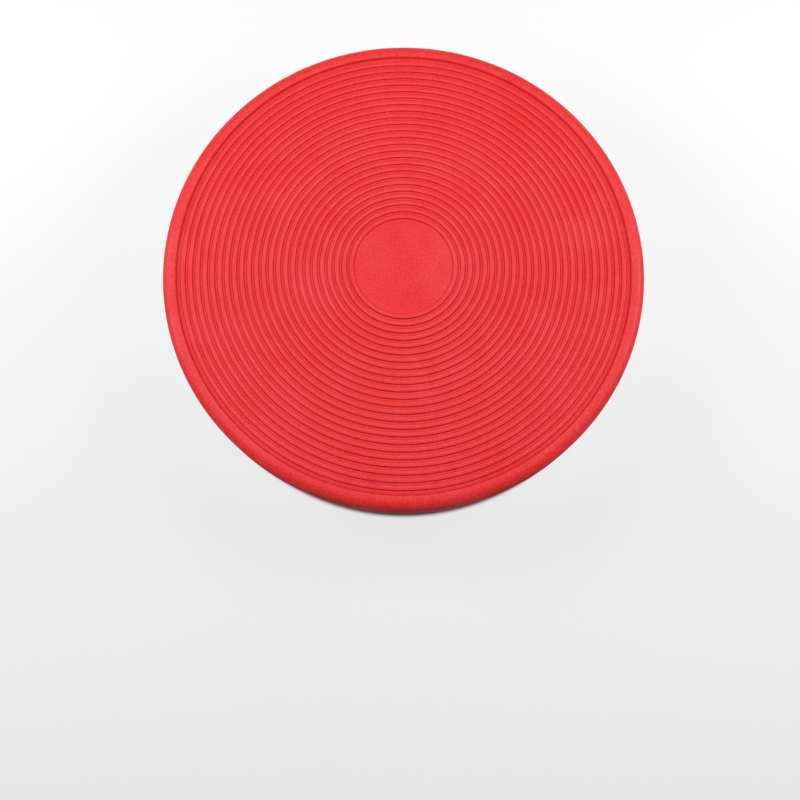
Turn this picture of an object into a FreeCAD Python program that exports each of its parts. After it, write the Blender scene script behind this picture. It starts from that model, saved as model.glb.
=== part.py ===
"""Wobble board: a round standing board moulded as two plastic shells.

The deck shell carries concentric grip ribs and a low raised rim. The base shell curves in
under the rim and bulges into the dome that the board rocks on. Stiffening ribs inside both
shells meet on the seam plane, where the shells are welded together. The vent in the dome is
closed by a push-in plug.

Frame: millimetres, +Z up, origin on the floor at the middle of the flat foot of the dome.
"""
import FreeCAD, Part
import math
import os
import Sketcher

# name, value, meaning. Lengths in millimetres, angles in degrees.
SIZES = (
    ("board_radius", 200.0, "outside radius, widest at the seam"),
    ("board_height", 95.0, "floor to the top of the rim"),
    ("wall", 4.0, "thickness of the side wall and of the base shell"),
    ("deck_wall", 4.0, "thickness of the deck between its ribs"),
    ("seam_drop", 31.0, "rim top down to the seam"),
    ("deck_draft", 0.5, "how much the deck shell's side wall leans in towards the top"),
    ("rim_round", 7.5, "outer edge radius of the rim"),
    ("inner_chamfer", 3.5, "chamfer inside the rim, between deck and side wall"),
    ("rim_band", 13.0, "width of the raised rim"),
    ("rim_rise", 2.0, "height of the rim above the deck"),
    ("rim_step", 1.6, "width of the slope between deck and rim"),
    ("grip_inside", 40.0, "radius of the smooth field inside the grip ribs"),
    ("grip_margin", 2.0, "smooth band between the grip ribs and the rim"),
    ("grip_count", 24, "number of grip ribs"),
    ("grip_rise", 1.2, "height of a grip rib"),
    ("side_drop", 36.2, "rim top down to the start of the lower corner"),
    ("under_width", 40.0, "width of the underside, from the outside in to the dome"),
    ("foot_flat", 12.0, "radius of the small flat that the dome rests on"),
    ("under_slope", 10.5, "slope of the underside between the dome and the corner"),
    ("corner_round", 14.0, "radius of the lower outside corner"),
    ("hub_radius", 24.0, "outside radius of the centre tube"),
    ("ring_radius", 96.0, "outside radius of the ring rib"),
    ("stiffener", 2.5, "thickness of the tube, ring rib and spokes"),
    ("spoke_count", 8, "number of spokes in each shell"),
    ("rim_notch", 1.0, "depth of the weld groove round the seam"),
    ("rim_bead", 0.4, "how far the rim weld stands out of its groove"),
    ("inner_notch", 0.8, "depth of the weld grooves on tube and ring rib"),
    ("inner_bead", 0.5, "how far the inner welds stand out of their grooves"),
    ("vent_radius", 4.0, "radius of the vent hole"),
    ("vent_recess", 8.0, "radius of the recess round the vent"),
    ("recess_depth", 1.8, "depth of that recess"),
    ("vent_boss", 6.0, "height of the thick pad that the vent goes through"),
    ("plug_gap", 0.3, "gap between the plug's head and its recess"),
    ("plug_head", 1.4, "thickness of the plug's head"),
    ("plug_play", 0.05, "gap between the plug's shank and the vent"),
    ("plug_barb", 0.6, "how far the plug's barb reaches past the vent's edge"),
    ("plug_nose", 3.0, "length of the plug's tapered nose"),
)

DOC = FreeCAD.newDocument("wobble_board")
SHEET = "sizes"


def make_sheet():
    """Writes every driving dimension into one spreadsheet and names its cell."""
    sheet = DOC.addObject("Spreadsheet::Sheet", SHEET)
    for row, (name, value, meaning) in enumerate(SIZES, start=1):
        sheet.set(f"A{row}", name)
        sheet.set(f"B{row}", str(value))
        sheet.setAlias(f"B{row}", name)
        sheet.set(f"C{row}", meaning)
    DOC.recompute()


class Measure:
    """A length that knows both its number and the sheet expression that gives it."""

    def __init__(self, number, text):
        self.number = number
        self.text = text

    def __add__(self, other):
        other = measure(other)
        return Measure(self.number + other.number, f"({self.text} + {other.text})")

    def __sub__(self, other):
        other = measure(other)
        return Measure(self.number - other.number, f"({self.text} - {other.text})")

    def __mul__(self, other):
        other = measure(other)
        return Measure(self.number * other.number, f"({self.text} * {other.text})")

    def __truediv__(self, other):
        other = measure(other)
        return Measure(self.number / other.number, f"({self.text} / {other.text})")


def measure(value):
    """A plain number becomes a Measure; a Measure stays as it is."""
    return value if isinstance(value, Measure) else Measure(float(value), repr(value))


def leg(long_side, short_side):
    """The other leg of a right triangle, from its longest side and one leg."""
    long_side, short_side = measure(long_side), measure(short_side)
    number = math.sqrt(long_side.number ** 2 - short_side.number ** 2)
    return Measure(number, f"sqrt({long_side.text}^2 - {short_side.text}^2)")


def hypotenuse(one_leg, other_leg):
    """The longest side of a right triangle, from its two legs."""
    one_leg, other_leg = measure(one_leg), measure(other_leg)
    number = math.hypot(one_leg.number, other_leg.number)
    return Measure(number, f"sqrt({one_leg.text}^2 + {other_leg.text}^2)")


def sine(angle):
    angle = measure(angle)
    return Measure(math.sin(math.radians(angle.number)), f"sin({angle.text} * 1deg)")


def cosine(angle):
    angle = measure(angle)
    return Measure(math.cos(math.radians(angle.number)), f"cos({angle.text} * 1deg)")


def around(centre, radius, angle):
    """The point at an angle round a centre, counted from +X towards +Z."""
    return centre[0] + radius * cosine(angle), centre[1] + radius * sine(angle)


SIZE = {name: Measure(float(value), f"{SHEET}.{name}") for name, value, meaning in SIZES}
COUNT = {name: value for name, value, meaning in SIZES if name.endswith("_count")}
NOTHING = Measure(0.0, "0")

# Levels and radii that several parts share.
RADIUS = SIZE["board_radius"]
WALL = SIZE["wall"]
TOP_Z = SIZE["board_height"]
SEAM_Z = TOP_Z - SIZE["seam_drop"]
DECK_Z = TOP_Z - SIZE["rim_rise"]
CEILING_Z = DECK_Z - SIZE["deck_wall"]
HUB_INSIDE = SIZE["hub_radius"] - SIZE["stiffener"]
RING_INSIDE = SIZE["ring_radius"] - SIZE["stiffener"]
HUB_MIDDLE = SIZE["hub_radius"] - SIZE["stiffener"] / 2

# Radius, groove depth and bead height of each weld on the seam plane.
INNER_WELD = (SIZE["inner_notch"], SIZE["inner_bead"])
WELDS = {
    "rim_weld": (RADIUS, SIZE["rim_notch"], SIZE["rim_bead"]),
    "ring_weld": (SIZE["ring_radius"], *INNER_WELD),
    "hub_weld": (SIZE["hub_radius"], *INNER_WELD),
}

# The grip ribs share the width between the smooth field and the rim evenly.
GRIP_WIDTH = RADIUS - SIZE["rim_band"] - SIZE["grip_margin"] - SIZE["grip_inside"]
GRIP_PITCH = GRIP_WIDTH / SIZE["grip_count"]

# Centre of the lower corner's round, which runs into the underside without a kink, and how far
# round it turns.
CORNER_X = RADIUS - SIZE["corner_round"]
CORNER_Z = TOP_Z - SIZE["side_drop"]
CORNER_SWEEP = measure(90) - SIZE["under_slope"]

# The dome is part of a sphere through its edge and the edge of its flat foot.
DOME_EDGE = RADIUS - SIZE["under_width"]
UNDER_RISE = (CORNER_X - DOME_EDGE) * sine(SIZE["under_slope"]) + SIZE["corner_round"]
DOME_EDGE_Z = CORNER_Z - UNDER_RISE / cosine(SIZE["under_slope"])
DOME_SPREAD = DOME_EDGE * DOME_EDGE - SIZE["foot_flat"] * SIZE["foot_flat"]
DOME_Z = (DOME_EDGE_Z + DOME_SPREAD / DOME_EDGE_Z) / 2
DOME_SPHERE = hypotenuse(DOME_Z, SIZE["foot_flat"])


def origin_plane(body, role):
    return next(f for f in body.Origin.OriginFeatures if f.Role == role)


class Outline:
    """Closed loops of lines and arcs on a body's XZ plane, with every corner bound to the sheet."""

    def __init__(self, body, name):
        self.sketch = body.newObject("Sketcher::SketchObject", name)
        self.sketch.AttachmentSupport = [(origin_plane(body, "XZ_Plane"), "")]
        self.sketch.MapMode = "FlatFace"

    def start(self, x, z):
        """Begins a loop at x, z."""
        self.begin = self.pen = (measure(x), measure(z))
        self.first = self.last = None

    def _bind(self, kind, geometry, point, value):
        """Pins one coordinate of a point: on the sketch's axis when it is zero, else by the sheet."""
        if value.text == NOTHING.text:
            axis = -2 if kind == "DistanceX" else -1
            self.sketch.addConstraint(Sketcher.Constraint("PointOnObject", geometry, point, axis))
            return
        index = self.sketch.addConstraint(
            Sketcher.Constraint(kind, -1, 1, geometry, point, value.number)
        )
        self.sketch.setExpression(f"Constraints[{index}]", value.text)

    def _join(self, geometry, start_point, end_point, end, pin=True):
        """Ties a new edge to the one before it and pins its far end."""
        if self.last is None:
            self.first = (geometry, start_point)
            self._bind("DistanceX", geometry, start_point, self.begin[0])
            self._bind("DistanceY", geometry, start_point, self.begin[1])
        else:
            self.sketch.addConstraint(
                Sketcher.Constraint("Coincident", *self.last, geometry, start_point)
            )
        if pin:
            self._bind("DistanceX", geometry, end_point, end[0])
            self._bind("DistanceY", geometry, end_point, end[1])
        self.last = (geometry, end_point)
        self.pen = end

    def line_to(self, x, z):
        end = (measure(x), measure(z))
        edge = Part.LineSegment(self._point(self.pen), self._point(end))
        self._join(self.sketch.addGeometry(edge, False), 1, 2, end)

    def arc_to(self, x, z, radius, clockwise):
        """An arc under a half turn, from the pen to x, z."""
        end = (measure(x), measure(z))
        start, stop = self._point(self.pen), self._point(end)
        middle = (start + stop) * 0.5
        half = (stop - start) * 0.5
        rise = math.sqrt(radius.number ** 2 - half.Length ** 2)
        side = FreeCAD.Vector(-half.y, half.x, 0).normalize() * (-rise if clockwise else rise)
        centre = middle + side
        angles = [math.atan2(p.y - centre.y, p.x - centre.x) for p in (start, stop)]
        if clockwise:
            angles.reverse()
        circle = Part.Circle(centre, FreeCAD.Vector(0, 0, 1), radius.number)
        geometry = self.sketch.addGeometry(Part.ArcOfCircle(circle, *angles), False)
        self._join(geometry, 2 if clockwise else 1, 1 if clockwise else 2, end)
        index = self.sketch.addConstraint(Sketcher.Constraint("Radius", geometry, radius.number))
        self.sketch.setExpression(f"Constraints[{index}]", radius.text)

    def close(self):
        """Joins the pen to the starting point with a straight line."""
        edge = Part.LineSegment(self._point(self.pen), self._point(self.begin))
        geometry = self.sketch.addGeometry(edge, False)
        self._join(geometry, 1, 2, self.begin, pin=False)
        self.sketch.addConstraint(Sketcher.Constraint("Coincident", geometry, 2, *self.first))
        return self.sketch

    @staticmethod
    def _point(pair):
        return FreeCAD.Vector(pair[0].number, pair[1].number, 0)


def new_body(label):
    body = DOC.addObject("PartDesign::Body", label)
    body.Label = label
    return body


def revolve(body, name, outline):
    """Turns a closed outline a full turn round the board's axis."""
    turned = body.newObject("PartDesign::Revolution", name)
    turned.Profile = outline
    turned.ReferenceAxis = (outline, ["V_Axis"])
    turned.Angle = 360
    return turned


def add_spokes(body, outline):
    """One flat spoke, centred on its outline's plane, repeated round the board's axis."""
    spoke = body.newObject("PartDesign::Pad", "spoke")
    spoke.Profile = outline
    spoke.Midplane = True
    spoke.setExpression("Length", SIZE["stiffener"].text)
    DOC.recompute()
    pattern = body.newObject("PartDesign::PolarPattern", "spokes")
    pattern.Originals = [spoke]
    pattern.Axis = (outline, ["V_Axis"])
    pattern.Angle = 360
    pattern.setExpression("Occurrences", f"{SHEET}.spoke_count")
    body.Tip = pattern
    return pattern


def dome_height(x, inset):
    """Height of the dome's wall at radius x, inset from its outside."""
    return DOME_Z - leg(DOME_SPHERE - inset, x)


def corner_stations(inset, facets):
    """Points from the side wall round the lower corner to the dome's edge, inset from the outside."""
    centre = (CORNER_X, CORNER_Z)
    radius = SIZE["corner_round"] - inset
    angles = [CORNER_SWEEP * (-step / facets) for step in range(facets + 1)]
    dome_edge = (DOME_EDGE, dome_height(DOME_EDGE, inset))
    return [around(centre, radius, angle) for angle in angles] + [dome_edge]


def draw_bead(outline, radius, notch, proud):
    """A weld bead's section: it fills a groove on the seam plane and stands a little proud."""
    outline.start(radius - notch, SEAM_Z)
    outline.line_to(radius, SEAM_Z + notch)
    outline.line_to(radius + proud, SEAM_Z)
    outline.line_to(radius, SEAM_Z - notch)
    return outline.close()


def cut_weld_grooves(body):
    """Cuts the grooves for the three welds, through the spokes where they cross."""
    section = Outline(body, "groove_section")
    for radius, notch, proud in WELDS.values():
        outline = draw_bead(section, radius, notch, proud)
    groove = body.newObject("PartDesign::Groove", "weld_grooves")
    groove.Profile = outline
    groove.ReferenceAxis = (outline, ["V_Axis"])
    groove.Angle = 360
    body.Tip = groove


def make_deck_shell():
    """Deck with grip ribs, raised rim and upper side wall, open below."""
    body = new_body("deck_shell")
    section = Outline(body, "deck_section")
    section.start(NOTHING, CEILING_Z)
    section.line_to(NOTHING, DECK_Z)
    section.line_to(SIZE["grip_inside"], DECK_Z)
    for number in range(COUNT["grip_count"]):
        section.line_to(SIZE["grip_inside"] + GRIP_PITCH * (number + 0.5), DECK_Z + SIZE["grip_rise"])
        section.line_to(SIZE["grip_inside"] + GRIP_PITCH * (number + 1), DECK_Z)
    rim_foot = RADIUS - SIZE["rim_band"]
    wall_top = RADIUS - SIZE["deck_draft"]
    section.line_to(rim_foot, DECK_Z)
    section.line_to(rim_foot + SIZE["rim_step"], TOP_Z)
    rim_centre = (wall_top - SIZE["rim_round"], TOP_Z - SIZE["rim_round"])
    for angle in (90, 60, 30, 0):
        section.line_to(*around(rim_centre, SIZE["rim_round"], angle))
    section.line_to(RADIUS, SEAM_Z)
    section.line_to(RADIUS - WALL, SEAM_Z)
    section.line_to(wall_top - WALL, CEILING_Z - SIZE["inner_chamfer"])
    section.line_to(wall_top - WALL - SIZE["inner_chamfer"], CEILING_Z)
    for outside, inside in ((SIZE["ring_radius"], RING_INSIDE), (SIZE["hub_radius"], HUB_INSIDE)):
        section.line_to(outside, CEILING_Z)
        section.line_to(outside, SEAM_Z)
        section.line_to(inside, SEAM_Z)
        section.line_to(inside, CEILING_Z)
    revolve(body, "deck_turned", section.close())

    spoke = Outline(body, "spoke_outline")
    root_z = CEILING_Z + SIZE["deck_wall"] / 2
    spoke.start(HUB_MIDDLE, SEAM_Z)
    spoke.line_to(HUB_MIDDLE, root_z)
    spoke.line_to(wall_top - SIZE["rim_round"], root_z)
    spoke.line_to(RADIUS - WALL / 2 - SIZE["deck_draft"], TOP_Z - SIZE["rim_round"])
    spoke.line_to(RADIUS - WALL / 2, SEAM_Z)
    add_spokes(body, spoke.close())
    cut_weld_grooves(body)
    return body


def make_base_shell():
    """Lower side wall, underside and dome, with the vent hole in the middle of the foot."""
    body = new_body("base_shell")
    section = Outline(body, "base_section")
    section.start(RADIUS - WALL, SEAM_Z)
    section.line_to(RADIUS, SEAM_Z)
    for point in corner_stations(NOTHING, facets=3):
        section.line_to(*point)
    section.arc_to(SIZE["foot_flat"], NOTHING, DOME_SPHERE, clockwise=True)
    section.line_to(SIZE["vent_recess"], NOTHING)
    section.line_to(SIZE["vent_recess"], SIZE["recess_depth"])
    section.line_to(SIZE["vent_radius"], SIZE["recess_depth"])
    section.line_to(SIZE["vent_radius"], SIZE["vent_boss"])
    section.line_to(HUB_INSIDE, SIZE["vent_boss"])
    section.line_to(HUB_INSIDE, SEAM_Z)
    section.line_to(SIZE["hub_radius"], SEAM_Z)
    section.line_to(SIZE["hub_radius"], dome_height(SIZE["hub_radius"], WALL))
    section.line_to(RING_INSIDE, dome_height(RING_INSIDE, WALL))
    section.line_to(RING_INSIDE, SEAM_Z)
    section.line_to(SIZE["ring_radius"], SEAM_Z)
    section.line_to(SIZE["ring_radius"], dome_height(SIZE["ring_radius"], WALL))
    for point in reversed(corner_stations(WALL, facets=2)):
        section.line_to(*point)
    revolve(body, "base_turned", section.close())

    spoke = Outline(body, "spoke_outline")
    spoke.start(HUB_MIDDLE, SEAM_Z)
    spoke.line_to(RADIUS - WALL / 2, SEAM_Z)
    for point in corner_stations(WALL / 2, facets=2):
        spoke.line_to(*point)
    dome_middle = DOME_SPHERE - WALL / 2
    spoke.arc_to(HUB_MIDDLE, dome_height(HUB_MIDDLE, WALL / 2), dome_middle, clockwise=True)
    add_spokes(body, spoke.close())
    cut_weld_grooves(body)
    return body


def make_weld_bead(label):
    """A ring of weld that joins the two shells."""
    body = new_body(label)
    section = Outline(body, "bead_section")
    revolve(body, "bead_turned", draw_bead(section, *WELDS[label]))
    return body


def make_vent_plug():
    """Push-in plug: a head in the recess, a shank through the vent and a barb behind the boss."""
    body = new_body("vent_plug")
    head_radius = SIZE["vent_recess"] - SIZE["plug_gap"]
    shank_radius = SIZE["vent_radius"] - SIZE["plug_play"]
    barb_radius = SIZE["vent_radius"] + SIZE["plug_barb"]
    section = Outline(body, "plug_section")
    section.start(NOTHING, SIZE["recess_depth"] - SIZE["plug_head"])
    section.line_to(head_radius, SIZE["recess_depth"] - SIZE["plug_head"])
    section.line_to(head_radius, SIZE["recess_depth"])
    section.line_to(shank_radius, SIZE["recess_depth"])
    section.line_to(shank_radius, SIZE["vent_boss"])
    section.line_to(barb_radius, SIZE["vent_boss"])
    section.line_to(shank_radius / 2, SIZE["vent_boss"] + SIZE["plug_nose"])
    section.line_to(NOTHING, SIZE["vent_boss"] + SIZE["plug_nose"])
    revolve(body, "plug_turned", section.close())
    return body


def check(bodies):
    """Stops before anything is written if an object failed or a part isn't one valid solid."""
    failed = [o.Name for o in DOC.Objects if {"Invalid", "Error"} & set(o.State)]
    if failed:
        raise RuntimeError(f"these objects did not compute: {failed}")
    for body in bodies:
        shape = body.Shape
        if shape.isNull() or not shape.isValid() or len(shape.Solids) != 1:
            raise RuntimeError(f"{body.Label} is not one valid solid")


def export(bodies):
    os.makedirs("parts", exist_ok=True)
    for body in bodies:
        body.Shape.exportStep(f"parts/{body.Label}.step")
        print(body.Label, "volume", round(body.Shape.Volume / 1000, 2), "cubic centimetres")


def main():
    make_sheet()
    bodies = [make_deck_shell(), make_base_shell()]
    bodies += [make_weld_bead(label) for label in WELDS]
    bodies.append(make_vent_plug())
    DOC.recompute()
    check(bodies)
    export(bodies)


main()
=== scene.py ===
import math

import bmesh
import bpy
from bpy.props import FloatProperty, FloatVectorProperty, IntProperty, PointerProperty
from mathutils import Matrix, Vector, noise


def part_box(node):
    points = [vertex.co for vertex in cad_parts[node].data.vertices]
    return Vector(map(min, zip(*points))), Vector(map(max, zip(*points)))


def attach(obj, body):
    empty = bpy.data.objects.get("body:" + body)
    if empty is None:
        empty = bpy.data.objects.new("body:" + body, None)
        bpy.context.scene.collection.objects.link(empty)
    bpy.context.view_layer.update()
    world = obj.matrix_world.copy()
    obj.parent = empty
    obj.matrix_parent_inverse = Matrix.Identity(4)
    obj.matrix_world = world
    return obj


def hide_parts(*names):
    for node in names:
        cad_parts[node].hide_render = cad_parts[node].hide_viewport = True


bl_info = {
    "name": "Wobble Board",
    "version": (1, 0, 0),
    "blender": (4, 5, 0),
    "location": "3D View > Sidebar > Wobble Board",
    "description": "Builds a round moulded standing board with grip ribs and a rocking dome",
    "category": "Add Mesh",
}

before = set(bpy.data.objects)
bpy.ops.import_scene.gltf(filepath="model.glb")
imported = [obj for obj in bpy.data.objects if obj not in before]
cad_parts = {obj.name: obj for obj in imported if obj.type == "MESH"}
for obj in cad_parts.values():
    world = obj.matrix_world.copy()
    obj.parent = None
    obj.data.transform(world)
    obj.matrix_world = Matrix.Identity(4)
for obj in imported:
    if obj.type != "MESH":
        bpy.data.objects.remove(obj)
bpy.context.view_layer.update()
DECK_LOW, DECK_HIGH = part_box("deck_shell")
PLUG_LOW, PLUG_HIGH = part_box("vent_plug")
BOARD_RADIUS = round(DECK_HIGH.x, 3)
MM = 0.001

# Sizes inside the shells, out of sight, which a user has no reason to change.
HUB_RADIUS = 24 * MM
RING_RADIUS = 96 * MM
STIFFENER = 2.5 * MM
SPOKES = 8
VENT_RADIUS = 4 * MM
VENT_RECESS = 8 * MM
RECESS_DEPTH = 1.8 * MM
VENT_BOSS = 6 * MM

# Facets in a full turn.
SHELL_FACETS = 288
BEAD_FACETS = 720
PLUG_FACETS = 96

# Colours of scuffed plastic, one for each material.
SCUFFED_DECK = (0.95, 0.12, 0.12)
SCUFFED_BASE = (0.80, 0.14, 0.13)
SCUFFED_WELD = (0.95, 0.30, 0.28)
SCUFFED_PLUG = (0.75, 0.12, 0.12)

# The floor. Under the board it is painted a dark grey shade whose edge is soft, and in what the board's
# plastic reflects that painted shade reaches further out.
FLOOR_SIZE = 6.0
PAINTED_FLOOR_SHADE = (0.28, 0.28, 0.28)
SHADE_EDGE = 2.2 * MM
REFLECTED_SHADE = 90 * MM


def length(name, description, default, **limits):
    return FloatProperty(
        name=name, description=description, default=default, min=0.0,
        subtype="DISTANCE", unit="LENGTH", precision=4, **limits,
    )


def share(name, description, default):
    return FloatProperty(
        name=name, description=description, default=default, min=0.0, max=1.0, subtype="FACTOR"
    )


def colour(name, description, default):
    return FloatVectorProperty(
        name=name, description=description, default=default, size=3, min=0.0, max=1.0,
        subtype="COLOR",
    )


class BoardShape(bpy.types.PropertyGroup):
    """Sizes of the two shells."""

    radius: length("Radius", "Outside radius of the board", BOARD_RADIUS)
    height: length("Height", "Floor to the top of the rim", DECK_HIGH.z)
    seam: length("Seam height", "Floor to the seam between the shells", DECK_LOW.z)
    wall: length("Wall", "Thickness of the moulded walls", 4 * MM)
    draft: length("Draft", "Lean of the upper side wall", 0.5 * MM)
    rim_round: length("Rim edge", "Outer edge radius of the rim", 7.5 * MM)
    rim_band: length("Rim width", "Width of the raised rim", 13 * MM)
    rim_rise: length("Rim rise", "Height of the rim above the deck", 2 * MM)
    notch: length("Weld groove", "Depth of the groove round the seam", 1 * MM)
    corner_round: length("Lower corner", "Radius of the lower outside corner", 14 * MM)
    under_slope: FloatProperty(
        name="Underside slope", description="Slope of the underside between dome and corner",
        default=math.radians(10.5), min=0.0, subtype="ANGLE", unit="ROTATION",
    )
    dome_sphere: length("Dome sphere", "Radius of the sphere the dome is part of", 0.3403)
    dome_edge: length("Dome edge", "Radius where the dome meets the underside", 0.16)
    foot_flat: length("Foot", "Radius of the flat the dome rests on", 12 * MM)


class GripRibs(bpy.types.PropertyGroup):
    """The concentric ribs on the deck."""

    inside: length("Smooth middle", "Radius of the smooth field inside the ribs", 40 * MM)
    margin: length("Margin", "Smooth band between the ribs and the rim", 2 * MM)
    count: IntProperty(name="Count", description="Number of ribs", default=24, min=1, max=60)
    width: length("Width", "Width of a rib at its foot", 4.1 * MM)
    rise: length("Rise", "Height of a rib", 1.05 * MM)
    flank: length("Flank", "Width of a rib's steep side", 0.30 * MM)
    edge: length("Edge", "Radius of a rib's upper edges", 0.40 * MM)


class PlasticFinish(bpy.types.PropertyGroup):
    """Colour and surface of the moulded plastic."""

    shell: colour("Shell", "Colour of both shells", (0.83, 0.036, 0.041))
    deep: colour("Shell, deep", "Colour of the shells where the plastic is denser", (0.76, 0.009, 0.011))
    # Painted shade: the dark colour painted into the creases at the feet of the ribs and at the rim's
    # step.
    painted_crease_shade: colour("Painted crease shade", "Colour of the grime along the feet of the ribs", (0.42, 0.002, 0.003))
    weld: colour("Weld", "Colour of the melted seam", (0.84, 0.07, 0.08))
    plug: colour("Plug", "Colour of the vent plug", (0.55, 0.010, 0.012))
    # Rib tops: a tint for polish by feet that also serves as a painted highlight on the crests.
    polished_and_highlight: colour("Polish and painted highlight", "Colour of the ribs' polished tops", (0.86, 0.030, 0.036))
    rubbed: colour("Rubbed dome", "Colour of the dome where it rubs on the floor", (0.70, 0.10, 0.09))
    grain: length("Grain size", "Size of the moulded grain", 0.9 * MM)
    roughness: share("Roughness", "Roughness of the moulded surface", 0.50)


class StudioSetting(bpy.types.PropertyGroup):
    """Floor, lamps and camera."""

    floor: colour("Floor", "Colour of the floor and the backdrop", (0.97, 0.97, 0.97))
    bounce: share("Floor bounce", "Share of the light that the floor throws back up", 0.25)
    veil: share("Floor veil", "Share of the floor's look that is plain backdrop", 0.65)
    overhead: FloatProperty(
        name="Overhead", description="Strength of the overhead lamp", default=5.0, min=0.0,
        subtype="POWER", unit="POWER",
    )
    side: FloatProperty(
        name="Side", description="Strength of each side lamp", default=3.4, min=0.0,
        subtype="POWER", unit="POWER",
    )
    ambient: share("Ambient", "Brightness of the light from all round", 0.21)
    elevation: FloatProperty(
        name="Camera height", description="Angle of the camera above the deck",
        default=math.radians(73.31), subtype="ANGLE", unit="ROTATION",
    )
    aim_drop: FloatProperty(
        name="Aim", description="How far below the deck's middle the camera aims",
        default=math.radians(4.229), subtype="ANGLE", unit="ROTATION",
    )
    distance: length("Camera distance", "Camera to the middle of the deck", 0.828)
    lens: FloatProperty(name="Lens", description="Focal length in millimetres", default=45.0, min=1.0)
    shift: FloatVectorProperty(
        name="Camera shift", description="How far the frame lies off the camera's middle",
        default=(-0.0044, -0.075), size=2,
    )


GROUPS = {
    "board_shape": BoardShape,
    "grip_ribs": GripRibs,
    "plastic_finish": PlasticFinish,
    "studio_setting": StudioSetting,
}


# Turned shapes


class SectionPen:
    """Draws a section in the XZ plane, point by point, and turns it round the board's axis."""

    def __init__(self, x, z):
        self.bm = bmesh.new()
        self.start = self.tip = self._point(x, z)

    def _point(self, x, z):
        return bmesh.ops.create_vert(self.bm, co=(x, 0, z))["vert"][0]

    def line_to(self, x, z):
        made = bmesh.ops.extrude_vert_indiv(self.bm, verts=[self.tip])
        self.tip = made["verts"][0]
        step = Vector((x, 0, z)) - self.tip.co
        bmesh.ops.translate(self.bm, vec=step, verts=[self.tip])

    def arc(self, centre_x, centre_z, degrees, steps):
        """Swings the tip round a centre; a positive angle turns it from +Z towards +X."""
        made = bmesh.ops.spin(
            self.bm, geom=[self.tip], cent=(centre_x, 0, centre_z), axis=(0, 1, 0),
            angle=math.radians(degrees), steps=steps,
        )
        self.tip = next(v for v in made["geom_last"] if isinstance(v, bmesh.types.BMVert))

    def arc_to(self, x, z, centre_x, centre_z, steps):
        """Swings the tip to a point, the short way round a centre."""
        before = math.atan2(self.tip.co.x - centre_x, self.tip.co.z - centre_z)
        after = math.atan2(x - centre_x, z - centre_z)
        sweep = (after - before + math.pi) % (2 * math.pi) - math.pi
        self.arc(centre_x, centre_z, math.degrees(sweep), steps)

    def close(self):
        bmesh.ops.contextual_create(self.bm, geom=[self.tip, self.start])

    def turn(self, steps):
        """Spins the section a full turn and closes the seam and the poles."""
        bm = self.bm
        bmesh.ops.spin(
            bm, geom=bm.verts[:] + bm.edges[:], cent=(0, 0, 0), axis=(0, 0, 1),
            angle=2 * math.pi, steps=steps, use_merge=True,
        )
        bmesh.ops.remove_doubles(bm, verts=bm.verts, dist=1e-6)
        bmesh.ops.recalc_face_normals(bm, faces=bm.faces)
        return bm


def add_piece(bm, name, material, node, crease=32.0):
    """Makes a finished piece of a bmesh, in place of a CAD node."""
    for face in bm.faces:
        face.smooth = True
    mesh = bpy.data.meshes.new(name)
    bm.to_mesh(mesh)
    bm.free()
    mesh.set_sharp_from_angle(angle=math.radians(crease))
    mesh.materials.append(material)
    piece = bpy.data.objects.new(name, mesh)
    bpy.context.scene.collection.objects.link(piece)
    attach(piece, "root")
    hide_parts(node)


def add_spokes(bm, outline, count, thickness):
    """Adds flat spokes with the given XZ outline, evenly round the board's axis."""
    pen = SectionPen(*outline[0])
    for point in outline[1:]:
        pen.line_to(*point)
    pen.close()
    spoke = pen.bm
    bmesh.ops.contextual_create(spoke, geom=spoke.edges[:])
    bmesh.ops.translate(spoke, vec=(0, -thickness / 2, 0), verts=spoke.verts)
    side = bmesh.ops.extrude_face_region(spoke, geom=spoke.faces[:])
    raised = [v for v in side["geom"] if isinstance(v, bmesh.types.BMVert)]
    bmesh.ops.translate(spoke, vec=(0, thickness, 0), verts=raised)
    bmesh.ops.recalc_face_normals(spoke, faces=spoke.faces)
    turn = 2 * math.pi / count
    bmesh.ops.spin(
        spoke, geom=spoke.verts[:] + spoke.edges[:] + spoke.faces[:], cent=(0, 0, 0),
        axis=(0, 0, 1), angle=turn * (count - 1), steps=count - 1, use_duplicate=True,
    )
    mesh = bpy.data.meshes.new("spokes")
    spoke.to_mesh(mesh)
    spoke.free()
    bm.from_mesh(mesh)
    bpy.data.meshes.remove(mesh)


# Materials


def new_node(tree, kind, sockets=None, **settings):
    """Adds a node, makes its settings, and sets or links its input sockets."""
    node = tree.nodes.new(kind)
    for name, value in settings.items():
        setattr(node, name, value)
    for key, value in (sockets or {}).items():
        if isinstance(value, bpy.types.NodeSocket):
            tree.links.new(value, node.inputs[key])
        else:
            node.inputs[key].default_value = value
    return node


def new_group(name, inputs, outputs):
    """Starts a node group and returns its tree with its input and output nodes."""
    tree = bpy.data.node_groups.new(name, "ShaderNodeTree")
    for label, kind, value in inputs:
        socket = tree.interface.new_socket(label, in_out="INPUT", socket_type=kind)
        if value is not None:
            socket.default_value = value
    for label, kind in outputs:
        tree.interface.new_socket(label, in_out="OUTPUT", socket_type=kind)
    return tree, new_node(tree, "NodeGroupInput"), new_node(tree, "NodeGroupOutput")


def ramp(tree, value, low, high, out_low=0.0, out_high=1.0):
    """A smooth step of a value between two limits."""
    node = new_node(
        tree, "ShaderNodeMapRange",
        {"Value": value, "From Min": low, "From Max": high, "To Min": out_low, "To Max": out_high},
        interpolation_type="SMOOTHSTEP",
    )
    return node.outputs["Result"]


def calc(tree, operation, first, second=0.0):
    """One step of arithmetic on two values."""
    node = new_node(tree, "ShaderNodeMath", {0: first, 1: second}, operation=operation)
    return node.outputs["Value"]


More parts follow.
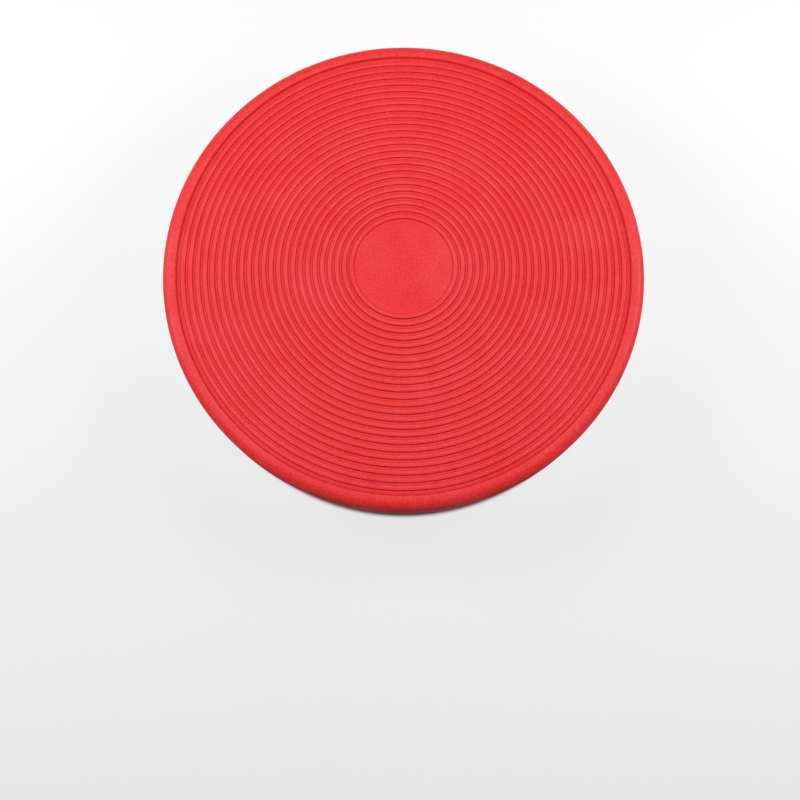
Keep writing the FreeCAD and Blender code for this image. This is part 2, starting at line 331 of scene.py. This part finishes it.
def noise_of(tree, position, scale, detail, rough=0.55):
    """Cloudy noise over the surface."""
    node = new_node(
        tree, "ShaderNodeTexNoise",
        {"Vector": position, "Scale": scale, "Detail": detail, "Roughness": rough},
    )
    return node.outputs["Fac"]


def moulded_grain_group():
    """Fine grain from the mould, slow clouds in the colour, and patches of duller skin."""
    tree, start, end = new_group(
        "Moulded Grain",
        [("Position", "NodeSocketVector", None), ("Size", "NodeSocketFloat", 0.001)],
        [("Height", "NodeSocketFloat"), ("Clouds", "NodeSocketFloat"), ("Dullness", "NodeSocketFloat")],
    )
    position = start.outputs["Position"]
    scale = calc(tree, "DIVIDE", 1.0, start.outputs["Size"])
    fine = noise_of(tree, position, scale, 3.0, 0.6)
    pits = new_node(
        tree, "ShaderNodeTexVoronoi",
        {"Vector": position, "Scale": calc(tree, "MULTIPLY", scale, 0.6), "Smoothness": 0.6},
        feature="SMOOTH_F1",
    )
    tree.links.new(calc(tree, "ADD", fine, calc(tree, "MULTIPLY", pits.outputs["Distance"], 0.5)),
                   end.inputs["Height"])
    slow = noise_of(tree, position, 14.0, 3.0, 0.5)
    fleck = noise_of(tree, position, 700.0, 2.0, 0.7)
    mixed = calc(tree, "ADD", calc(tree, "MULTIPLY", slow, 0.25), calc(tree, "MULTIPLY", fleck, 0.75))
    tree.links.new(ramp(tree, mixed, 0.36, 0.64), end.inputs["Clouds"])
    tree.links.new(ramp(tree, noise_of(tree, position, 38.0, 5.0), 0.35, 0.7), end.inputs["Dullness"])
    return tree


def scuff_group():
    """Long thin scratches and short rubs, as a mask."""
    tree, start, end = new_group(
        "Handling Scuffs",
        [("Position", "NodeSocketVector", None), ("Amount", "NodeSocketFloat", 0.5)],
        [("Mask", "NodeSocketFloat")],
    )
    position = start.outputs["Position"]
    masks = []
    for turn, reach in ((0.6, 30.0), (2.2, 42.0)):
        turned = new_node(
            tree, "ShaderNodeMapping",
            {"Vector": position, "Rotation": (0, 0, turn), "Scale": (1.0, 0.22, 0.6)},
        )
        lines = new_node(
            tree, "ShaderNodeTexVoronoi", {"Vector": turned.outputs["Vector"], "Scale": reach},
            feature="DISTANCE_TO_EDGE",
        )
        thin = ramp(tree, lines.outputs["Distance"], 0.0, 0.012, 1.0, 0.0)
        patch = ramp(tree, noise_of(tree, position, reach * 0.55, 2.0), 0.52, 0.66)
        masks.append(calc(tree, "MULTIPLY", thin, patch))
    both = calc(tree, "MAXIMUM", *masks)
    tree.links.new(calc(tree, "MULTIPLY", both, start.outputs["Amount"]), end.inputs["Mask"])
    return tree


def blend_colour(tree, factor, first, second, mode="MIX"):
    """Blends two colours, each a plain colour or a socket."""
    node = new_node(tree, "ShaderNodeMix", {0: factor}, data_type="RGBA", blend_type=mode)
    for key, value in ((6, first), (7, second)):
        if isinstance(value, bpy.types.NodeSocket):
            tree.links.new(value, node.inputs[key])
        else:
            node.inputs[key].default_value = (*value, 1.0)
    return node.outputs[2]


class Plastic:
    """A moulded plastic material, with the grain and scuffs that every part of the board has."""

    def __init__(self, name, light, deep, grain_size, roughness, scuffs):
        self.material = bpy.data.materials.new(name)
        self.material.use_nodes = True
        self.tree = self.material.node_tree
        self.shader = self.tree.nodes["Principled BSDF"]
        self.position = new_node(self.tree, "ShaderNodeTexCoord").outputs["Object"]
        grain = new_node(
            self.tree, "ShaderNodeGroup", {"Position": self.position, "Size": grain_size},
            node_tree=shared_group(moulded_grain_group, "Moulded Grain"),
        )
        scuff = new_node(
            self.tree, "ShaderNodeGroup", {"Position": self.position, "Amount": scuffs},
            node_tree=shared_group(scuff_group, "Handling Scuffs"),
        )
        self.scuffs = scuff.outputs["Mask"]
        self.height = calc(
            self.tree, "SUBTRACT", grain.outputs["Height"],
            calc(self.tree, "MULTIPLY", self.scuffs, 0.8),
        )
        self.colour = blend_colour(self.tree, grain.outputs["Clouds"], deep, light)
        self.roughness = calc(
            self.tree, "ADD", roughness - 0.05,
            calc(self.tree, "MULTIPLY", grain.outputs["Dullness"], 0.14),
        )

    def tint(self, mask, colour, strength=1.0):
        """Blends a colour in where a mask is bright."""
        self.colour = blend_colour(
            self.tree, calc(self.tree, "MULTIPLY", mask, strength), self.colour, colour
        )

    def dull(self, mask, amount):
        """Makes the surface rougher, or smoother if negative, where a mask is bright."""
        self.roughness = calc(
            self.tree, "ADD", self.roughness, calc(self.tree, "MULTIPLY", mask, amount)
        )

    def axis_distance(self):
        """Distance from the board's axis, and height, at each point of the surface."""
        split = new_node(self.tree, "ShaderNodeSeparateXYZ", {0: self.position})
        flat = new_node(
            self.tree, "ShaderNodeCombineXYZ", {0: split.outputs["X"], 1: split.outputs["Y"]}
        )
        reach = new_node(self.tree, "ShaderNodeVectorMath", {0: flat.outputs[0]}, operation="LENGTH")
        return reach.outputs["Value"], split.outputs["Z"]

    def finish(self, bump, bump_distance=0.12 * MM):
        """Joins colour, roughness and lumps to the shader."""
        self.tree.links.new(self.colour, self.shader.inputs["Base Color"])
        self.tree.links.new(self.roughness, self.shader.inputs["Roughness"])
        self.shader.inputs["Specular IOR Level"].default_value = 0.30
        lumps = new_node(
            self.tree, "ShaderNodeBump",
            {"Height": self.height, "Strength": bump, "Distance": bump_distance},
        )
        self.tree.links.new(lumps.outputs["Normal"], self.shader.inputs["Normal"])
        return self.material


def shared_group(make, name):
    """The node group of this name, made the first time it is asked for."""
    return bpy.data.node_groups.get(name) or make()


def rib_pitch(shape, ribs):
    """Distance from one rib to the next, when they share the deck's width evenly."""
    return (shape.radius - shape.rim_band - ribs.margin - ribs.inside) / ribs.count


def painted_foot_shade(tree, shape, ribs, reach):
    """Painted shade: a thin dark line along both feet of each rib and along the rim's step, where these
    creases would lie in shade.
    """
    line_reach = 0.55 * MM
    beside_foot = 0.15 * MM
    step_reach = 0.7 * MM
    beside_step = 0.2 * MM
    # The painted shade is weaker at the inner foot of each rib than at the outer foot.
    inner_foot_share = 0.6
    pitch = rib_pitch(shape, ribs)
    rim = shape.radius - shape.rim_band

    # Runs from -0.5 to 0.5 across each rib and the valleys beside it.
    place = calc(tree, "DIVIDE", calc(tree, "SUBTRACT", reach, ribs.inside), pitch)
    across = calc(tree, "SUBTRACT", calc(tree, "FRACT", place), 0.5)
    foot = (ribs.width / 2 + beside_foot) / pitch
    off_foot = calc(tree, "SUBTRACT", calc(tree, "ABSOLUTE", across), foot)
    line = ramp(tree, calc(tree, "ABSOLUTE", off_foot), line_reach / pitch, 0.0)
    line = calc(tree, "MULTIPLY", line, ramp(tree, across, -0.1, 0.1, inner_foot_share, 1.0))
    line = calc(tree, "MULTIPLY", line, ramp(tree, reach, ribs.inside, ribs.inside + 0.3 * MM))
    line = calc(tree, "MULTIPLY", line, ramp(tree, reach, rim, rim - 1 * MM))

    off_step = calc(tree, "ABSOLUTE", calc(tree, "SUBTRACT", reach, rim + beside_step))
    return calc(tree, "MAXIMUM", line, ramp(tree, off_step, step_reach, 0.0))


def deck_plastic(shape, ribs, finish):
    """Shell plastic: polished rib tops with a painted highlight, a smooth rim, a dull side wall and
    painted shade in the ribs' feet.
    """
    plastic = Plastic("Red deck shell", finish.shell, finish.deep, finish.grain, finish.roughness, 0.4)
    tree = plastic.tree
    reach, height = plastic.axis_distance()
    deck = shape.height - shape.rim_rise
    rim = shape.radius - shape.rim_band
    top = ramp(tree, height, deck + 0.7 * ribs.rise, deck + ribs.rise)
    on_rim = ramp(tree, reach, rim, rim + 2 * MM)
    polish_and_highlight = calc(tree, "MULTIPLY", top, calc(tree, "SUBTRACT", 1.0, on_rim))
    side = ramp(tree, height, deck, deck - 5 * MM)
    smooth_rim = calc(tree, "MULTIPLY", on_rim, calc(tree, "SUBTRACT", 1.0, side))
    # The rib tops take a tint that is partly polish and partly a painted highlight.
    plastic.tint(polish_and_highlight, finish.polished_and_highlight, 0.4)
    on_deck = ramp(tree, height, deck - 1 * MM, deck)
    # Painted shade along the ribs' feet and the rim's step, kept to the deck.
    painted_crease_shade = calc(tree, "MULTIPLY", painted_foot_shade(tree, shape, ribs, reach), on_deck)
    plastic.tint(painted_crease_shade, finish.painted_crease_shade, 0.75)
    plastic.tint(plastic.scuffs, SCUFFED_DECK, 0.4)
    plastic.dull(polish_and_highlight, -0.05)
    plastic.dull(smooth_rim, -0.10)
    plastic.dull(side, 0.3)
    plastic.dull(painted_crease_shade, 0.2)
    plastic.dull(plastic.scuffs, 0.12)
    return plastic.finish(0.5)


def base_plastic(shape, finish):
    """Shell plastic: a dull side wall, and rubbed pale where the dome rocks on the floor."""
    plastic = Plastic("Red base shell", finish.shell, finish.deep, finish.grain, finish.roughness, 0.6)
    tree = plastic.tree
    reach, height = plastic.axis_distance()
    rocked = ramp(tree, reach, 0.11, 0.02)
    patchy = ramp(tree, noise_of(tree, plastic.position, 90.0, 5.0, 0.7), 0.40, 0.66)
    rub = calc(tree, "MULTIPLY", rocked, patchy)
    rub = calc(tree, "MULTIPLY", rub, ramp(tree, height, 0.03, 0.01))
    side = ramp(tree, reach, shape.radius - 8 * MM, shape.radius - 2 * MM)
    plastic.tint(rub, finish.rubbed, 0.5)
    plastic.tint(plastic.scuffs, SCUFFED_BASE, 0.45)
    plastic.dull(rub, 0.2)
    plastic.dull(side, 0.3)
    plastic.dull(plastic.scuffs, 0.12)
    return plastic.finish(0.45)


def weld_plastic(finish):
    """Plastic that melted and set again: paler, glossier and lumpy."""
    plastic = Plastic("Red melted seam", finish.weld, finish.shell, 2.2 * MM, 0.34, 0.3)
    plastic.tint(plastic.scuffs, SCUFFED_WELD, 0.5)
    return plastic.finish(0.6, 0.25 * MM)


def plug_plastic(finish):
    """Softer plastic of the plug, with a finer grain."""
    plastic = Plastic("Red vent plug", finish.plug, finish.deep, 0.5 * MM, 0.38, 0.8)
    plastic.tint(plastic.scuffs, SCUFFED_PLUG, 0.6)
    return plastic.finish(0.35)


# Pieces


def settings(context):
    """The four property groups, in the order shape, ribs, finish, studio."""
    scene = context.scene
    return scene.board_shape, scene.grip_ribs, scene.plastic_finish, scene.studio_setting


def dome_height(shape, x, inset=0.0):
    """Height of the dome's wall at a radius, inset from its outside."""
    centre = math.sqrt(shape.dome_sphere ** 2 - shape.foot_flat ** 2)
    return centre - math.sqrt((shape.dome_sphere - inset) ** 2 - x ** 2)


def draw_grip_ribs(pen, shape, ribs, deck):
    """Flat-topped ribs with rounded shoulders, a little crowned, from the middle outwards."""
    pitch = rib_pitch(shape, ribs)
    half = ribs.width / 2
    shoulder = half - ribs.flank - ribs.edge
    edge_z = deck + ribs.rise - ribs.edge
    crown = ribs.edge / 8
    for number in range(ribs.count):
        middle = ribs.inside + pitch * (number + 0.5)
        pen.line_to(middle - half, deck)
        pen.line_to(middle - shoulder - ribs.edge, edge_z)
        pen.arc(middle - shoulder, edge_z, 90, 3)
        pen.line_to(middle, deck + ribs.rise + crown)
        pen.line_to(middle + shoulder, deck + ribs.rise)
        pen.arc(middle + shoulder, edge_z, 90, 3)
        pen.line_to(middle + half, deck)


def draw_rim_and_wall(pen, shape, deck):
    """Up the rim's rounded step, over its edge and down the side wall to the seam."""
    rim = shape.radius - shape.rim_band
    step_round = 1 * MM
    pen.line_to(rim, deck)
    pen.line_to(rim + 1.03 * MM, shape.height - step_round / 2)
    pen.arc(rim + 1.9 * MM, shape.height - step_round, 60, 3)
    wall_top = shape.radius - shape.draft
    round_x, round_z = wall_top - shape.rim_round, shape.height - shape.rim_round
    pen.line_to(round_x, shape.height)
    pen.arc_to(wall_top, round_z, round_x, round_z, 14)
    for part in (0.33, 0.66):
        pen.line_to(wall_top + part * shape.draft, round_z + part * (shape.seam - round_z))
    pen.line_to(shape.radius, shape.seam + shape.notch)
    pen.line_to(shape.radius - shape.notch, shape.seam)
    pen.line_to(shape.radius - shape.wall, shape.seam)


def draw_deck_inside(pen, shape, ceiling):
    """Up inside the wall and in along the ceiling, round the ring rib and the centre tube."""
    inner = shape.rim_round - shape.wall
    wall_x = shape.radius - shape.draft - shape.wall
    pen.line_to(wall_x, ceiling - inner)
    pen.arc_to(wall_x - inner, ceiling, wall_x - inner, ceiling - inner, 4)
    for outside in (RING_RADIUS, HUB_RADIUS):
        pen.line_to(outside, ceiling)
        pen.line_to(outside, shape.seam)
        pen.line_to(outside - STIFFENER, shape.seam)
        pen.line_to(outside - STIFFENER, ceiling)
    pen.line_to(0, ceiling)


class BOARD_OT_deck(bpy.types.Operator):
    """Turn the deck shell: flat middle, grip ribs, raised rim, side wall and inner stiffeners"""

    bl_idname = "board.deck"
    bl_label = "Deck Shell"

    def execute(self, context):
        shape, ribs, finish, _ = settings(context)
        deck = shape.height - shape.rim_rise
        ceiling = deck - shape.wall
        pen = SectionPen(0, deck)
        for part in (0.3, 0.6, 0.9):
            pen.line_to(part * ribs.inside, deck)
        draw_grip_ribs(pen, shape, ribs, deck)
        draw_rim_and_wall(pen, shape, deck)
        draw_deck_inside(pen, shape, ceiling)
        bm = pen.turn(SHELL_FACETS)

        # The spokes run in the middle of the walls that they join.
        half = shape.wall / 2
        wall_top = shape.radius - shape.draft
        outline = [
            (HUB_RADIUS - STIFFENER / 2, shape.seam),
            (HUB_RADIUS - STIFFENER / 2, ceiling + half),
            (wall_top - shape.rim_round, ceiling + half),
            (wall_top - half, shape.height - shape.rim_round),
            (shape.radius - half, shape.seam),
        ]
        add_spokes(bm, outline, SPOKES, STIFFENER)
        add_piece(bm, "deck", deck_plastic(shape, ribs, finish), "deck_shell")
        return {"FINISHED"}


def draw_base_outside(pen, shape, corner_x, corner_z, centre):
    """Down the side wall, round the corner, in along the underside and over the dome."""
    pen.line_to(shape.radius - shape.notch, shape.seam)
    pen.line_to(shape.radius, shape.seam - shape.notch)
    pen.line_to(shape.radius, corner_z)
    pen.arc(corner_x, corner_z, math.degrees(math.pi / 2 - shape.under_slope), 14)
    pen.line_to(shape.dome_edge, dome_height(shape, shape.dome_edge))
    pen.arc_to(shape.foot_flat, 0, 0, centre, 40)


def draw_vent(pen):
    """The recess for the plug's head, the vent hole and the pad round it."""
    pen.line_to(VENT_RECESS, 0)
    pen.line_to(VENT_RECESS, RECESS_DEPTH)
    pen.line_to(VENT_RADIUS, RECESS_DEPTH)
    pen.line_to(VENT_RADIUS, VENT_BOSS)
    pen.line_to(HUB_RADIUS - STIFFENER, VENT_BOSS)


def draw_base_inside(pen, shape, centre):
    """Up and down the centre tube and the ring rib, and out along the dome's inside."""
    ring_inside = RING_RADIUS - STIFFENER
    pen.line_to(HUB_RADIUS - STIFFENER, shape.seam)
    pen.line_to(HUB_RADIUS, shape.seam)
    pen.line_to(HUB_RADIUS, dome_height(shape, HUB_RADIUS, shape.wall))
    pen.arc_to(ring_inside, dome_height(shape, ring_inside, shape.wall), 0, centre, 6)
    pen.line_to(ring_inside, shape.seam)
    pen.line_to(RING_RADIUS, shape.seam)
    pen.line_to(RING_RADIUS, dome_height(shape, RING_RADIUS, shape.wall))
    pen.arc_to(shape.dome_edge, dome_height(shape, shape.dome_edge, shape.wall), 0, centre, 6)


class BOARD_OT_base(bpy.types.Operator):
    """Turn the base shell: lower side wall, rounded corner, underside, dome and vent hole"""

    bl_idname = "board.base"
    bl_label = "Base Shell"

    def execute(self, context):
        shape, _, finish, _ = settings(context)
        slope = shape.under_slope
        corner_x = shape.radius - shape.corner_round
        rise = (corner_x - shape.dome_edge) * math.sin(slope) + shape.corner_round
        corner_z = dome_height(shape, shape.dome_edge) + rise / math.cos(slope)
        centre = dome_height(shape, 0) + shape.dome_sphere
        inner = shape.corner_round - shape.wall
        pen = SectionPen(shape.radius - shape.wall, shape.seam)
        draw_base_outside(pen, shape, corner_x, corner_z, centre)
        draw_vent(pen)
        draw_base_inside(pen, shape, centre)
        pen.line_to(corner_x + inner * math.sin(slope), corner_z - inner * math.cos(slope))
        pen.arc_to(corner_x + inner, corner_z, corner_x, corner_z, 5)
        pen.close()
        bm = pen.turn(SHELL_FACETS)

        # The spokes run in the middle of the walls that they join.
        half = shape.wall / 2
        outline = [
            (HUB_RADIUS - STIFFENER / 2, shape.seam),
            (shape.radius - half, shape.seam),
            (shape.radius - half, corner_z),
            (corner_x + (inner + half) * 0.7, corner_z - (inner + half) * 0.7),
            (corner_x, corner_z - inner - half),
        ]
        for x in (shape.dome_edge, 0.13, RING_RADIUS, 0.06, HUB_RADIUS - STIFFENER / 2):
            outline.append((x, dome_height(shape, x, half)))
        add_spokes(bm, outline, SPOKES, STIFFENER)
        add_piece(bm, "base", base_plastic(shape, finish), "base_shell")
        return {"FINISHED"}


def wave_bead(bm, shape):
    """Lets a weld bead wander a little up and down, and swell in and out, as melted plastic does."""
    wander = 0.16 * MM
    swelling = 0.08 * MM
    for vert in bm.verts:
        angle = math.atan2(vert.co.y, vert.co.x)
        place = Vector((math.cos(angle), math.sin(angle), 0)) * 9
        wave = noise.noise(place) + 0.5 * noise.noise(place * 5.3)
        swell = noise.noise(place * 2.1 + Vector((7, 3, 1)))
        vert.co.z += wander * wave
        scale = 1 + swelling * (swell - 0.6) / shape.radius
        vert.co.x *= scale
        vert.co.y *= scale


class BOARD_OT_welds(bpy.types.Operator):
    """Lay the slightly wavy rim weld in its groove, and finish the two welds inside"""

    bl_idname = "board.welds"
    bl_label = "Welds"

    def execute(self, context):
        shape, _, finish, _ = settings(context)
        weld = weld_plastic(finish)
        pen = SectionPen(shape.radius - 0.9 * MM, shape.seam)
        pen.line_to(shape.radius - 0.35 * MM, shape.seam + 0.62 * MM)
        pen.arc(shape.radius - 0.42 * MM, shape.seam, 180 - 20, 8)
        pen.close()
        bm = pen.turn(BEAD_FACETS)
        wave_bead(bm, shape)
        add_piece(bm, "rim_bead", weld, "rim_weld", crease=60.0)
        for name in ("ring_weld", "hub_weld"):
            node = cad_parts[name]
            node.data.materials.clear()
            node.data.materials.append(weld)
        return {"FINISHED"}


class BOARD_OT_vent_plug(bpy.types.Operator):
    """Turn the push-in vent plug with its rounded head, shank and barb"""

    bl_idname = "board.vent_plug"
    bl_label = "Vent Plug"

    def execute(self, context):
        finish = settings(context)[2]
        head = PLUG_HIGH.x
        low, seat = PLUG_LOW.z, RECESS_DEPTH
        edge = 0.5 * MM
        pen = SectionPen(0, low)
        pen.line_to(3 * MM, low)
        pen.line_to(head - edge, low)
        pen.arc_to(head, low + edge, head - edge, low + edge, 5)
        pen.line_to(head, seat)
        shank = VENT_RADIUS - 0.05 * MM
        pen.line_to(shank, seat)
        pen.line_to(shank, VENT_BOSS)
        pen.line_to(VENT_RADIUS + 0.6 * MM, VENT_BOSS)
        pen.line_to(shank / 2, PLUG_HIGH.z)
        pen.line_to(0, PLUG_HIGH.z)
        add_piece(pen.turn(PLUG_FACETS), "plug", plug_plastic(finish), "vent_plug")
        return {"FINISHED"}


# Stage


def area_lamp(name, place, aim, size, power):
    """A soft lamp that the camera doesn't see, turned to what it lights."""
    lamp = bpy.data.lights.new(name, "AREA")
    lamp.shape = "RECTANGLE"
    lamp.size, lamp.size_y = size
    lamp.energy = power
    holder = bpy.data.objects.new(name, lamp)
    bpy.context.scene.collection.objects.link(holder)
    holder.visible_camera = False
    holder.location = place
    holder.rotation_euler = (Vector(aim) - Vector(place)).to_track_quat("-Z", "Y").to_euler()


def seen(tree):
    """One where the camera, a reflection or a see-through piece shows a surface, zero elsewhere."""
    path = new_node(tree, "ShaderNodeLightPath").outputs
    shiny = calc(tree, "MAXIMUM", path["Is Glossy Ray"], path["Is Transmission Ray"])
    return calc(tree, "MAXIMUM", path["Is Camera Ray"], shiny)


def open_floor_mask(tree, shape, reach):
    """Zero on the floor under the board, where the floor takes a painted shade and no backdrop glow, one
    outside it.
    """
    direct = new_node(tree, "ShaderNodeLightPath").outputs["Is Camera Ray"]
    edge = ramp(tree, direct, 0.0, 1.0, shape.radius + REFLECTED_SHADE, shape.radius + SHADE_EDGE)
    return ramp(tree, reach, shape.radius - SHADE_EDGE, edge)


def floor_glow(tree, depth, far):
    """Plain backdrop that grows white with distance behind the board."""
    paleness = calc(tree, "MAXIMUM", ramp(tree, depth, -0.30, 0.25, 0.855, 1.0), far)
    return new_node(tree, "ShaderNodeEmission", {"Strength": paleness}).outputs[0]


def floor_cover(tree, shape, studio, reach, far_edges):
    """How much of the floor's look is plain backdrop: more far away, and more close to the board, where
    the glow paints light over the board's shadow.
    """
    far = ramp(tree, reach, *far_edges, studio.veil, 1.0)
    # Painted light: close to the board more glow lightens its shadow.
    near = ramp(tree, reach, shape.radius + 80 * MM, shape.radius + 10 * MM, studio.veil, 0.88)
    return calc(tree, "MAXIMUM", far, near)


def mix_shader(tree, share_of_second, first, second):
    return new_node(tree, "ShaderNodeMixShader", {0: share_of_second, 1: first, 2: second}).outputs[0]


def floor_material(shape, studio):
    """Pale to the eye except under the board, where a dark grey shade is painted, and darker to the
    light that it throws back up.

    It is clear from below, so that the board's underside can be looked at through it.
    """
    far_edges = (0.6, 2.0)
    material = bpy.data.materials.new("Pale floor")
    material.use_nodes = True
    tree = material.node_tree
    shader = tree.nodes["Principled BSDF"]
    position = new_node(tree, "ShaderNodeTexCoord").outputs["Object"]
    depth = new_node(tree, "ShaderNodeSeparateXYZ", {0: position}).outputs["Y"]
    reach = new_node(tree, "ShaderNodeVectorMath", {0: position}, operation="LENGTH").outputs["Value"]
    open_floor = open_floor_mask(tree, shape, reach)

    mottle = ramp(tree, noise_of(tree, position, 2.0, 3.0), 0.3, 0.7, 0.985, 1.0)
    tone = new_node(tree, "ShaderNodeCombineColor", {0: mottle, 1: mottle, 2: mottle}).outputs[0]
    pale = blend_colour(tree, 1.0, tuple(studio.floor), tone, "MULTIPLY")
    # Painted shade: under the board the floor's colour is a dark grey.
    pale = blend_colour(tree, open_floor, PAINTED_FLOOR_SHADE, pale)
    dim = tuple(channel * studio.bounce for channel in studio.floor)
    tree.links.new(blend_colour(tree, seen(tree), dim, pale), shader.inputs["Base Color"])
    shader.inputs["Roughness"].default_value = 0.9
    shader.inputs["Specular IOR Level"].default_value = 0.1

    glow = floor_glow(tree, depth, ramp(tree, reach, *far_edges))
    cover = floor_cover(tree, shape, studio, reach, far_edges)
    veil = calc(tree, "MULTIPLY", calc(tree, "MULTIPLY", seen(tree), cover), open_floor)
    from_above = mix_shader(tree, veil, shader.outputs[0], glow)
    below = new_node(tree, "ShaderNodeNewGeometry").outputs["Backfacing"]
    clear = new_node(tree, "ShaderNodeBsdfTransparent").outputs[0]
    whole = mix_shader(tree, below, from_above, clear)
    tree.links.new(whole, tree.nodes["Material Output"].inputs["Surface"])
    return material


def room_light(studio):
    """A white backdrop to the eye that lights the board only a little."""
    world = bpy.data.worlds.new("Room")
    world.use_nodes = True
    tree = world.node_tree
    background = tree.nodes["Background"]
    background.inputs["Color"].default_value = (1, 1, 1, 1)
    strength = ramp(tree, seen(tree), 0.0, 1.0, studio.ambient, 1.0)
    tree.links.new(strength, background.inputs["Strength"])
    return world


def add_floor(scene, shape, studio):
    bm = bmesh.new()
    bmesh.ops.create_grid(bm, x_segments=2, y_segments=2, size=FLOOR_SIZE)
    mesh = bpy.data.meshes.new("floor")
    bm.to_mesh(mesh)
    bm.free()
    mesh.materials.append(floor_material(shape, studio))
    floor = bpy.data.objects.new("floor", mesh)
    scene.collection.objects.link(floor)


def add_camera(scene, shape, studio):
    """A camera in front of the board, high above it, that looks just below the deck's middle."""
    camera = bpy.data.cameras.new("camera")
    camera.lens = studio.lens
    camera.shift_x, camera.shift_y = studio.shift
    camera.clip_start = 0.02
    eye = bpy.data.objects.new("camera", camera)
    scene.collection.objects.link(eye)
    back = Vector((0, -math.cos(studio.elevation), math.sin(studio.elevation)))
    eye.location = Vector((0, 0, shape.height - shape.rim_rise)) + back * studio.distance
    eye.rotation_euler = (math.pi / 2 - studio.elevation - studio.aim_drop, 0, 0)
    scene.camera = eye


class BOARD_OT_stage(bpy.types.Operator):
    """Set up the pale floor, the soft lamps, the room light and the camera"""

    bl_idname = "board.stage"
    bl_label = "Stage"

    def execute(self, context):
        shape, _, _, studio = settings(context)
        scene = context.scene
        add_floor(scene, shape, studio)
        area_lamp("overhead", (0, 0.29, 1.1), (0, 0.05, 0.09), (1.0, 0.6), studio.overhead)
        for side in (-1, 1):
            area_lamp("side", (side * 0.72, 0.10, 0.62), (side * 0.1, 0, 0.08), (0.5, 0.6), studio.side)
        scene.world = room_light(studio)
        scene.view_settings.view_transform = "Standard"
        add_camera(scene, shape, studio)
        return {"FINISHED"}


class BOARD_PT_board(bpy.types.Panel):
    """Lists the board's settings and the steps that make it"""

    bl_label = "Wobble Board"
    bl_idname = "BOARD_PT_board"
    bl_space_type = "VIEW_3D"
    bl_region_type = "UI"
    bl_category = "Wobble Board"

    def draw(self, context):
        layout = self.layout
        for name, group in GROUPS.items():
            box = layout.box()
            box.label(text=group.__doc__)
            owner = getattr(context.scene, name)
            for prop in group.__annotations__:
                box.prop(owner, prop)
        for step in STEPS:
            layout.operator(step.bl_idname)


STEPS = (BOARD_OT_stage, BOARD_OT_deck, BOARD_OT_base, BOARD_OT_welds, BOARD_OT_vent_plug)


def register():
    for cls in (*GROUPS.values(), *STEPS, BOARD_PT_board):
        bpy.utils.register_class(cls)
    for name, group in GROUPS.items():
        setattr(bpy.types.Scene, name, PointerProperty(type=group))


def unregister():
    for name in GROUPS:
        delattr(bpy.types.Scene, name)
    for cls in (BOARD_PT_board, *reversed(STEPS), *GROUPS.values()):
        bpy.utils.unregister_class(cls)


def main():
    """Registers the add-on and makes every piece."""
    register()
    for step in STEPS:
        group, name = step.bl_idname.split(".")
        result = getattr(getattr(bpy.ops, group), name)()
        if result != {"FINISHED"}:
            raise RuntimeError(f"{step.bl_label} was not made")


if __name__ == "__main__":
    main()
